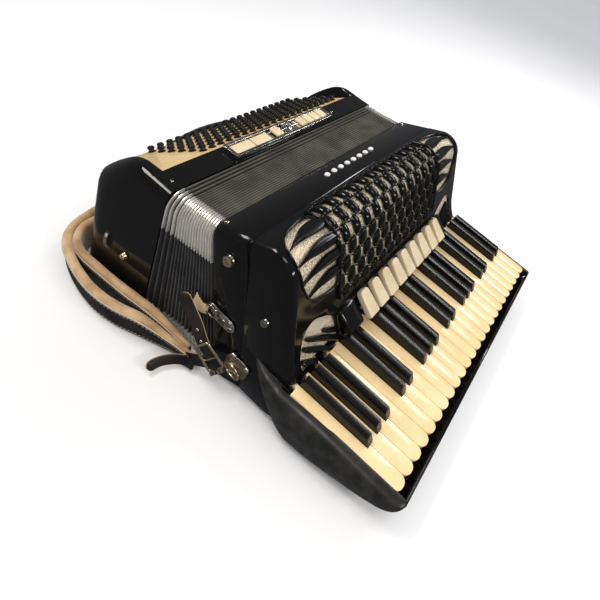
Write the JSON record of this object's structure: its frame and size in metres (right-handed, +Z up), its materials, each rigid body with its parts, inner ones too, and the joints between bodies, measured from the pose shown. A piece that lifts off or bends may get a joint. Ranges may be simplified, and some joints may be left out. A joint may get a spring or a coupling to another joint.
{
  "type": "piano accordion",
  "caption": "Piano accordion on its back: pierced grille, hinged keyboard, register switches, fanned bellows, sloping bass button board, hand strap and padded shoulder straps.",
  "frame": {"origin": "bottom centre of the bounding box, on the ground the instrument lies on", "axes": "+Z up (grille side), +X towards the keyboard, -Y towards the player's chin (low-note end), +Y towards the knee"},
  "size_m": [0.577, 0.562, 0.1964],
  "materials": {
    "celluloid": "polished black celluloid",
    "grille": "polished black, pierced",
    "cloth": "glittering taupe grille cloth",
    "ivory": "aged cream, semi-gloss",
    "ebony": "glossy black",
    "switch": "cream, semi-gloss",
    "wood": "bare spruce",
    "steel": "ground rod",
    "chrome": "plated, lightly worn",
    "bellows": "black cloth-covered card, metal edged corners",
    "leather": "black leather",
    "suede": "tan suede lining, black leather outside",
    "button": "glossy black"
  },
  "bodies": {
    "treble": {"treble_casing": "celluloid", "treble_grille": "grille", "grille_cloth": "cloth", "key_axle": "steel", "treble_reed_block": "wood", "strap_bracket": "chrome", "bellows": "bellows", "shoulder_strap_1": "suede", "shoulder_strap_2": "suede"},
    "bass": {"bass_casing": "celluloid", "bass_button_board": "ivory", "bass_register_frame": "chrome", "bass_reed_block": "wood", "bass_strap": "leather"},
    "air_button": {"air_button": "button"},
    "bass_buttons": {"bass_buttons": "button"},
    "bass_switches": {"bass_switches": "switch"},
    "front_switches": {"register_switches": "switch"},
    "strap_wheel": {"bass_strap_wheel": "chrome"},
    "key_white_01": {"key_white_01": "ivory"},
    "key_white_02": {"key_white_02": "ivory"},
    "key_white_03": {"key_white_03": "ivory"},
    "key_white_04": {"key_white_04": "ivory"},
    "key_white_05": {"key_white_05": "ivory"},
    "key_white_06": {"key_white_06": "ivory"},
    "key_white_07": {"key_white_07": "ivory"},
    "key_white_08": {"key_white_08": "ivory"},
    "key_white_09": {"key_white_09": "ivory"},
    "key_white_10": {"key_white_10": "ivory"},
    "key_white_11": {"key_white_11": "ivory"},
    "key_white_12": {"key_white_12": "ivory"},
    "key_white_13": {"key_white_13": "ivory"},
    "key_white_14": {"key_white_14": "ivory"},
    "key_white_15": {"key_white_15": "ivory"},
    "key_white_16": {"key_white_16": "ivory"},
    "key_white_17": {"key_white_17": "ivory"},
    "key_white_18": {"key_white_18": "ivory"},
    "key_white_19": {"key_white_19": "ivory"},
    "key_white_20": {"key_white_20": "ivory"},
    "key_white_21": {"key_white_21": "ivory"},
    "key_white_22": {"key_white_22": "ivory"},
    "key_white_23": {"key_white_23": "ivory"},
    "key_white_24": {"key_white_24": "ivory"},
    "key_black_01": {"key_black_01": "ebony"},
    "key_black_02": {"key_black_02": "ebony"},
    "key_black_03": {"key_black_03": "ebony"},
    "key_black_04": {"key_black_04": "ebony"},
    "key_black_05": {"key_black_05": "ebony"},
    "key_black_06": {"key_black_06": "ebony"},
    "key_black_07": {"key_black_07": "ebony"},
    "key_black_08": {"key_black_08": "ebony"},
    "key_black_09": {"key_black_09": "ebony"},
    "key_black_10": {"key_black_10": "ebony"},
    "key_black_11": {"key_black_11": "ebony"},
    "key_black_12": {"key_black_12": "ebony"},
    "key_black_13": {"key_black_13": "ebony"},
    "key_black_14": {"key_black_14": "ebony"},
    "key_black_15": {"key_black_15": "ebony"},
    "key_black_16": {"key_black_16": "ebony"},
    "key_black_17": {"key_black_17": "ebony"}
  },
  "joints": [
    {"name": "air_button_press", "type": "slide", "parent": "bass", "child": "air_button", "axis": [1, 0, 0], "range_m": [0, 0.006], "stiffness_N_per_m": 300, "springref_m": -0.004},
    {"name": "bass_buttons_press", "type": "slide", "parent": "bass", "child": "bass_buttons", "axis": [0.4226, 0, -0.9063], "range_m": [0, 0.0045], "stiffness_N_per_m": 1500, "springref_m": -0.006},
    {"name": "bass_switch_rock", "type": "hinge", "parent": "bass", "child": "bass_switches", "pos_m": [-0.08876, 0, 0.18421], "axis": [0, 1, 0], "range_deg": [-7, 7]},
    {"name": "bellows_slide", "type": "slide", "parent": "treble", "child": "bass", "axis": [-1, 0, 0], "range_m": [0, 0.22], "deforming": ["bellows", "shoulder_strap_1", "shoulder_strap_2"]},
    {"name": "front_switch_rock", "type": "hinge", "parent": "treble", "child": "front_switches", "pos_m": [0.13201, 0, 0.09695], "axis": [0, 1, 0], "range_deg": [-4, 4]},
    {"name": "hand_strap_wheel", "type": "hinge", "parent": "bass", "child": "strap_wheel", "pos_m": [-0.158, -0.2205, 0.067], "axis": [1, 0, 0], "range_deg": [-90, 90]},
    {"name": "key_white_01_dip", "type": "hinge", "parent": "treble", "child": "key_white_01", "pos_m": [0.08203, 0, 0.05769], "axis": [0, 1, 0], "range_deg": [0, 1.4], "stiffness_Nm_per_rad": 0.4, "springref_deg": -17.19},
    {"name": "key_white_02_dip", "type": "hinge", "parent": "treble", "child": "key_white_02", "pos_m": [0.08203, 0, 0.05769], "axis": [0, 1, 0], "range_deg": [0, 1.4], "stiffness_Nm_per_rad": 0.4, "springref_deg": -17.19},
    {"name": "key_white_03_dip", "type": "hinge", "parent": "treble", "child": "key_white_03", "pos_m": [0.08203, 0, 0.05769], "axis": [0, 1, 0], "range_deg": [0, 1.4], "stiffness_Nm_per_rad": 0.4, "springref_deg": -17.19},
    {"name": "key_white_04_dip", "type": "hinge", "parent": "treble", "child": "key_white_04", "pos_m": [0.08203, 0, 0.05769], "axis": [0, 1, 0], "range_deg": [0, 1.4], "stiffness_Nm_per_rad": 0.4, "springref_deg": -17.19},
    {"name": "key_white_05_dip", "type": "hinge", "parent": "treble", "child": "key_white_05", "pos_m": [0.08203, 0, 0.05769], "axis": [0, 1, 0], "range_deg": [0, 1.4], "stiffness_Nm_per_rad": 0.4, "springref_deg": -17.19},
    {"name": "key_white_06_dip", "type": "hinge", "parent": "treble", "child": "key_white_06", "pos_m": [0.08203, 0, 0.05769], "axis": [0, 1, 0], "range_deg": [0, 1.4], "stiffness_Nm_per_rad": 0.4, "springref_deg": -17.19},
    {"name": "key_white_07_dip", "type": "hinge", "parent": "treble", "child": "key_white_07", "pos_m": [0.08203, 0, 0.05769], "axis": [0, 1, 0], "range_deg": [0, 1.4], "stiffness_Nm_per_rad": 0.4, "springref_deg": -17.19},
    {"name": "key_white_08_dip", "type": "hinge", "parent": "treble", "child": "key_white_08", "pos_m": [0.08203, 0, 0.05769], "axis": [0, 1, 0], "range_deg": [0, 1.4], "stiffness_Nm_per_rad": 0.4, "springref_deg": -17.19},
    {"name": "key_white_09_dip", "type": "hinge", "parent": "treble", "child": "key_white_09", "pos_m": [0.08203, 0, 0.05769], "axis": [0, 1, 0], "range_deg": [0, 1.4], "stiffness_Nm_per_rad": 0.4, "springref_deg": -17.19},
    {"name": "key_white_10_dip", "type": "hinge", "parent": "treble", "child": "key_white_10", "pos_m": [0.08203, 0, 0.05769], "axis": [0, 1, 0], "range_deg": [0, 1.4], "stiffness_Nm_per_rad": 0.4, "springref_deg": -17.19},
    {"name": "key_white_11_dip", "type": "hinge", "parent": "treble", "child": "key_white_11", "pos_m": [0.08203, 0, 0.05769], "axis": [0, 1, 0], "range_deg": [0, 1.4], "stiffness_Nm_per_rad": 0.4, "springref_deg": -17.19},
    {"name": "key_white_12_dip", "type": "hinge", "parent": "treble", "child": "key_white_12", "pos_m": [0.08203, 0, 0.05769], "axis": [0, 1, 0], "range_deg": [0, 1.4], "stiffness_Nm_per_rad": 0.4, "springref_deg": -17.19},
    {"name": "key_white_13_dip", "type": "hinge", "parent": "treble", "child": "key_white_13", "pos_m": [0.08203, 0, 0.05769], "axis": [0, 1, 0], "range_deg": [0, 1.4], "stiffness_Nm_per_rad": 0.4, "springref_deg": -17.19},
    {"name": "key_white_14_dip", "type": "hinge", "parent": "treble", "child": "key_white_14", "pos_m": [0.08203, 0, 0.05769], "axis": [0, 1, 0], "range_deg": [0, 1.4], "stiffness_Nm_per_rad": 0.4, "springref_deg": -17.19},
    {"name": "key_white_15_dip", "type": "hinge", "parent": "treble", "child": "key_white_15", "pos_m": [0.08203, 0, 0.05769], "axis": [0, 1, 0], "range_deg": [0, 1.4], "stiffness_Nm_per_rad": 0.4, "springref_deg": -17.19},
    {"name": "key_white_16_dip", "type": "hinge", "parent": "treble", "child": "key_white_16", "pos_m": [0.08203, 0, 0.05769], "axis": [0, 1, 0], "range_deg": [0, 1.4], "stiffness_Nm_per_rad": 0.4, "springref_deg": -17.19},
    {"name": "key_white_17_dip", "type": "hinge", "parent": "treble", "child": "key_white_17", "pos_m": [0.08203, 0, 0.05769], "axis": [0, 1, 0], "range_deg": [0, 1.4], "stiffness_Nm_per_rad": 0.4, "springref_deg": -17.19},
    {"name": "key_white_18_dip", "type": "hinge", "parent": "treble", "child": "key_white_18", "pos_m": [0.08203, 0, 0.05769], "axis": [0, 1, 0], "range_deg": [0, 1.4], "stiffness_Nm_per_rad": 0.4, "springref_deg": -17.19},
    {"name": "key_white_19_dip", "type": "hinge", "parent": "treble", "child": "key_white_19", "pos_m": [0.08203, 0, 0.05769], "axis": [0, 1, 0], "range_deg": [0, 1.4], "stiffness_Nm_per_rad": 0.4, "springref_deg": -17.19},
    {"name": "key_white_20_dip", "type": "hinge", "parent": "treble", "child": "key_white_20", "pos_m": [0.08203, 0, 0.05769], "axis": [0, 1, 0], "range_deg": [0, 1.4], "stiffness_Nm_per_rad": 0.4, "springref_deg": -17.19},
    {"name": "key_white_21_dip", "type": "hinge", "parent": "treble", "child": "key_white_21", "pos_m": [0.08203, 0, 0.05769], "axis": [0, 1, 0], "range_deg": [0, 1.4], "stiffness_Nm_per_rad": 0.4, "springref_deg": -17.19},
    {"name": "key_white_22_dip", "type": "hinge", "parent": "treble", "child": "key_white_22", "pos_m": [0.08203, 0, 0.05769], "axis": [0, 1, 0], "range_deg": [0, 1.4], "stiffness_Nm_per_rad": 0.4, "springref_deg": -17.19},
    {"name": "key_white_23_dip", "type": "hinge", "parent": "treble", "child": "key_white_23", "pos_m": [0.08203, 0, 0.05769], "axis": [0, 1, 0], "range_deg": [0, 1.4], "stiffness_Nm_per_rad": 0.4, "springref_deg": -17.19},
    {"name": "key_white_24_dip", "type": "hinge", "parent": "treble", "child": "key_white_24", "pos_m": [0.08203, 0, 0.05769], "axis": [0, 1, 0], "range_deg": [0, 1.4], "stiffness_Nm_per_rad": 0.4, "springref_deg": -17.19},
    {"name": "key_black_01_dip", "type": "hinge", "parent": "treble", "child": "key_black_01", "pos_m": [0.08203, 0, 0.05769], "axis": [0, 1, 0], "range_deg": [0, 1.4], "stiffness_Nm_per_rad": 0.4, "springref_deg": -17.19},
    {"name": "key_black_02_dip", "type": "hinge", "parent": "treble", "child": "key_black_02", "pos_m": [0.08203, 0, 0.05769], "axis": [0, 1, 0], "range_deg": [0, 1.4], "stiffness_Nm_per_rad": 0.4, "springref_deg": -17.19},
    {"name": "key_black_03_dip", "type": "hinge", "parent": "treble", "child": "key_black_03", "pos_m": [0.08203, 0, 0.05769], "axis": [0, 1, 0], "range_deg": [0, 1.4], "stiffness_Nm_per_rad": 0.4, "springref_deg": -17.19},
    {"name": "key_black_04_dip", "type": "hinge", "parent": "treble", "child": "key_black_04", "pos_m": [0.08203, 0, 0.05769], "axis": [0, 1, 0], "range_deg": [0, 1.4], "stiffness_Nm_per_rad": 0.4, "springref_deg": -17.19},
    {"name": "key_black_05_dip", "type": "hinge", "parent": "treble", "child": "key_black_05", "pos_m": [0.08203, 0, 0.05769], "axis": [0, 1, 0], "range_deg": [0, 1.4], "stiffness_Nm_per_rad": 0.4, "springref_deg": -17.19},
    {"name": "key_black_06_dip", "type": "hinge", "parent": "treble", "child": "key_black_06", "pos_m": [0.08203, 0, 0.05769], "axis": [0, 1, 0], "range_deg": [0, 1.4], "stiffness_Nm_per_rad": 0.4, "springref_deg": -17.19},
    {"name": "key_black_07_dip", "type": "hinge", "parent": "treble", "child": "key_black_07", "pos_m": [0.08203, 0, 0.05769], "axis": [0, 1, 0], "range_deg": [0, 1.4], "stiffness_Nm_per_rad": 0.4, "springref_deg": -17.19},
    {"name": "key_black_08_dip", "type": "hinge", "parent": "treble", "child": "key_black_08", "pos_m": [0.08203, 0, 0.05769], "axis": [0, 1, 0], "range_deg": [0, 1.4], "stiffness_Nm_per_rad": 0.4, "springref_deg": -17.19},
    {"name": "key_black_09_dip", "type": "hinge", "parent": "treble", "child": "key_black_09", "pos_m": [0.08203, 0, 0.05769], "axis": [0, 1, 0], "range_deg": [0, 1.4], "stiffness_Nm_per_rad": 0.4, "springref_deg": -17.19},
    {"name": "key_black_10_dip", "type": "hinge", "parent": "treble", "child": "key_black_10", "pos_m": [0.08203, 0, 0.05769], "axis": [0, 1, 0], "range_deg": [0, 1.4], "stiffness_Nm_per_rad": 0.4, "springref_deg": -17.19},
    {"name": "key_black_11_dip", "type": "hinge", "parent": "treble", "child": "key_black_11", "pos_m": [0.08203, 0, 0.05769], "axis": [0, 1, 0], "range_deg": [0, 1.4], "stiffness_Nm_per_rad": 0.4, "springref_deg": -17.19},
    {"name": "key_black_12_dip", "type": "hinge", "parent": "treble", "child": "key_black_12", "pos_m": [0.08203, 0, 0.05769], "axis": [0, 1, 0], "range_deg": [0, 1.4], "stiffness_Nm_per_rad": 0.4, "springref_deg": -17.19},
    {"name": "key_black_13_dip", "type": "hinge", "parent": "treble", "child": "key_black_13", "pos_m": [0.08203, 0, 0.05769], "axis": [0, 1, 0], "range_deg": [0, 1.4], "stiffness_Nm_per_rad": 0.4, "springref_deg": -17.19},
    {"name": "key_black_14_dip", "type": "hinge", "parent": "treble", "child": "key_black_14", "pos_m": [0.08203, 0, 0.05769], "axis": [0, 1, 0], "range_deg": [0, 1.4], "stiffness_Nm_per_rad": 0.4, "springref_deg": -17.19},
    {"name": "key_black_15_dip", "type": "hinge", "parent": "treble", "child": "key_black_15", "pos_m": [0.08203, 0, 0.05769], "axis": [0, 1, 0], "range_deg": [0, 1.4], "stiffness_Nm_per_rad": 0.4, "springref_deg": -17.19},
    {"name": "key_black_16_dip", "type": "hinge", "parent": "treble", "child": "key_black_16", "pos_m": [0.08203, 0, 0.05769], "axis": [0, 1, 0], "range_deg": [0, 1.4], "stiffness_Nm_per_rad": 0.4, "springref_deg": -17.19},
    {"name": "key_black_17_dip", "type": "hinge", "parent": "treble", "child": "key_black_17", "pos_m": [0.08203, 0, 0.05769], "axis": [0, 1, 0], "range_deg": [0, 1.4], "stiffness_Nm_per_rad": 0.4, "springref_deg": -17.19}
  ]
}
